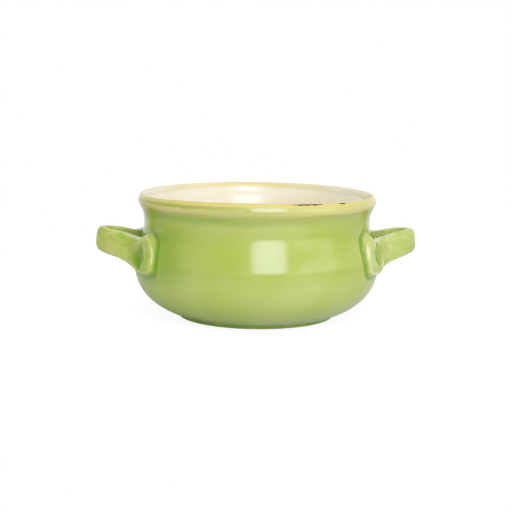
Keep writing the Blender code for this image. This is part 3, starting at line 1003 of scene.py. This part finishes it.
print("studio: floor, lights and camera")
studio = {
    "floorSize": 6,
    "floorGrey": 0.73,      # what the bowl sees of the floor
    "floorShade": 0.17,     # what takes the shadow in the picture
    "floorGlow": 0.90,
    "floorBounce": (0.10, 0.58),        # light from the floor, near the bowl and far from it
    "floorMirrored": (0.10, 0.48),      # share of it in reflections, at the left and at the right
    "behindMirrored": 0.92,
    "footMirrored": 0.17,
    "roomMirrored": (0.10, 0.50),       # the room in reflections, at the left and at the right
    "ambient": 0.73,
    "aimHeight": 0.04,
}
bm = bmesh.new()
bmesh.ops.create_grid(bm, x_segments=1, y_segments=1, size=studio["floorSize"])
mesh = bpy.data.meshes.new("floor")
bm.to_mesh(mesh)
bm.free()
floor = bpy.data.objects.new("floor", mesh)
bpy.context.scene.collection.objects.link(floor)
paper, tree, shader = newMaterial("white paper", 0.9)
shader.inputs["Specular IOR Level"].default_value = 0
shader.inputs["Emission Color"].default_value = (1, 1, 1, 1)
place = addNode(tree, "ShaderNodeTexCoord").outputs["Object"]
spot = addNode(tree, "ShaderNodeSeparateXYZ", {0: place}).outputs
reach = addNode(tree, "ShaderNodeVectorMath", {0: place}, operation="LENGTH").outputs["Value"]
far = ramp(tree, reach, 0.12, 0.34)
path = addNode(tree, "ShaderNodeLightPath").outputs
base = blend(tree, path["Is Camera Ray"], [studio["floorGrey"]] * 3, [studio["floorShade"]] * 3)
tree.links.new(blend(tree, far, base, (0, 0, 0)), shader.inputs["Base Color"])
shine = spread(tree, far, studio["floorGlow"], 1.0)
bounce = spread(tree, far, *studio["floorBounce"])
dimmed = spread(tree, ramp(tree, spot["X"], -0.7, 0.3), *studio["floorMirrored"])
underFoot = ramp(tree, spot["X"], -0.06, 0.02, studio["footMirrored"])
underFoot = times(tree, ramp(tree, reach, 0.16, 0.08), underFoot)
dimmed = highest(tree, underFoot, times(tree, bounce, dimmed))
mirrored = mixed(tree, ramp(tree, spot["Y"], 0.04, 0.40), dimmed, studio["behindMirrored"])
level = mixed(tree, path["Is Glossy Ray"], bounce, mirrored)
level = mixed(tree, path["Is Camera Ray"], level, shine)
tree.links.new(level, shader.inputs["Emission Strength"])
mesh.materials.append(paper)

world = bpy.data.worlds.new("studio")
bpy.context.scene.world = world
world.use_nodes = True
tree = world.node_tree
tree.nodes.clear()
path = addNode(tree, "ShaderNodeLightPath").outputs
place = addNode(tree, "ShaderNodeTexCoord").outputs["Generated"]
direction = addNode(tree, "ShaderNodeSeparateXYZ", {0: place}).outputs
backdrop = highest(tree, ramp(tree, direction["Y"], 0.20, 0.95), ramp(tree, direction["Z"], 0.60, 0.92))
room = spread(tree, ramp(tree, direction["X"], -0.9, 0.1), *studio["roomMirrored"])
level = mixed(tree, path["Is Glossy Ray"], studio["ambient"], mixed(tree, backdrop, room, 1.0))
level = mixed(tree, path["Is Camera Ray"], level, 1.0)
backing = addNode(tree, "ShaderNodeBackground", {"Color": (1, 1, 1, 1), "Strength": level})
addNode(tree, "ShaderNodeOutputWorld", {"Surface": backing.outputs[0]})


def towards(azimuth, elevation):
    # azimuth 0 is the front, at -Y
    a, e = math.radians(azimuth), math.radians(elevation)
    return Vector((math.sin(a) * math.cos(e), -math.cos(a) * math.cos(e), math.sin(e)))


def softbox(name, box):
    light = bpy.data.lights.new(name, "AREA")
    light.shape = "RECTANGLE"
    light.size, light.size_y = box["width"], box["height"]
    light.energy, light.color = box["watts"], box["colour"]
    light.use_nodes = True
    tree = light.node_tree
    place = addNode(tree, "ShaderNodeNewGeometry").outputs["Parametric"]
    place = addNode(tree, "ShaderNodeSeparateXYZ", {0: place}).outputs
    across, up = [sums(tree, "SUBTRACT", place[axis], 0.5) for axis in "XY"]
    across = times(tree, across, sums(tree, "ADD", 1.0, times(tree, up, box["taper"])))
    corners, hot = box["corners"], box["hot"]
    across, up = [sums(tree, "POWER", sums(tree, "ABSOLUTE", part, 0), corners) for part in (across, up)]
    edge, limit = sums(tree, "ADD", across, up), 0.5 ** corners
    glow = ramp(tree, sums(tree, "POWER", edge, 1 / corners), 0.5, 0.0)
    level = sums(tree, "ADD", 1 - hot / 3, times(tree, glow, hot))
    strength = times(tree, level, ramp(tree, edge, limit, 0.64 * limit))
    tree.links.new(strength, tree.nodes["Emission"].inputs["Strength"])
    lamp = bpy.data.objects.new(name, light)
    away = towards(box["azimuth"], box["elevation"])
    lamp.location = Vector((0, 0, studio["aimHeight"])) + box["distance"] * away
    lamp.rotation_euler = away.to_track_quat("Z", "Y").to_euler()
    bpy.context.scene.collection.objects.link(lamp)


keyLight = {
    "azimuth": 9.3,
    "elevation": 29,
    "distance": 1.3,
    "width": 0.76,
    "height": 1.12,
    "watts": 10.75,
    "colour": (0.95, 0.89, 1.30),
    "corners": 3.6,         # 2 is an ellipse; the higher, the squarer
    "taper": 0.14,
    "hot": 0.42,            # how much brighter it is at its middle
}
sidePanel = {
    "azimuth": 57,
    "elevation": 16.5,
    "distance": 1.4,
    "width": 1.08,
    "height": 0.56,
    "watts": 2.3,
    "colour": (0.97, 0.93, 1.12),
    "corners": 5,
    "taper": 0,
    "hot": 0,
}
softbox("key softbox", keyLight)
softbox("side panel", sidePanel)

camera = {
    "azimuth": -3.0,
    "elevation": 8.49,
    "distance": 0.90853,
    "roll": 0.741,
    "across": -0.00025,
    "height": 0.03828,
    "lens": 99.35,
    "sensor": 36,
}
away, turn = towards(camera["azimuth"], camera["elevation"]), math.radians(camera["azimuth"])
target = Vector((camera["across"] * math.cos(turn), camera["across"] * math.sin(turn), camera["height"]))
view = bpy.data.objects.new("camera", bpy.data.cameras.new("camera"))
view.data.lens = camera["lens"]
view.data.sensor_width = camera["sensor"]
view.location = target + camera["distance"] * away
view.rotation_mode = "QUATERNION"
view.rotation_quaternion = away.to_track_quat("Z", "Y") @ Quaternion((0, 0, 1), math.radians(camera["roll"]))
bpy.context.scene.collection.objects.link(view)
bpy.context.scene.camera = view
bpy.context.scene.view_settings.view_transform = "Standard"
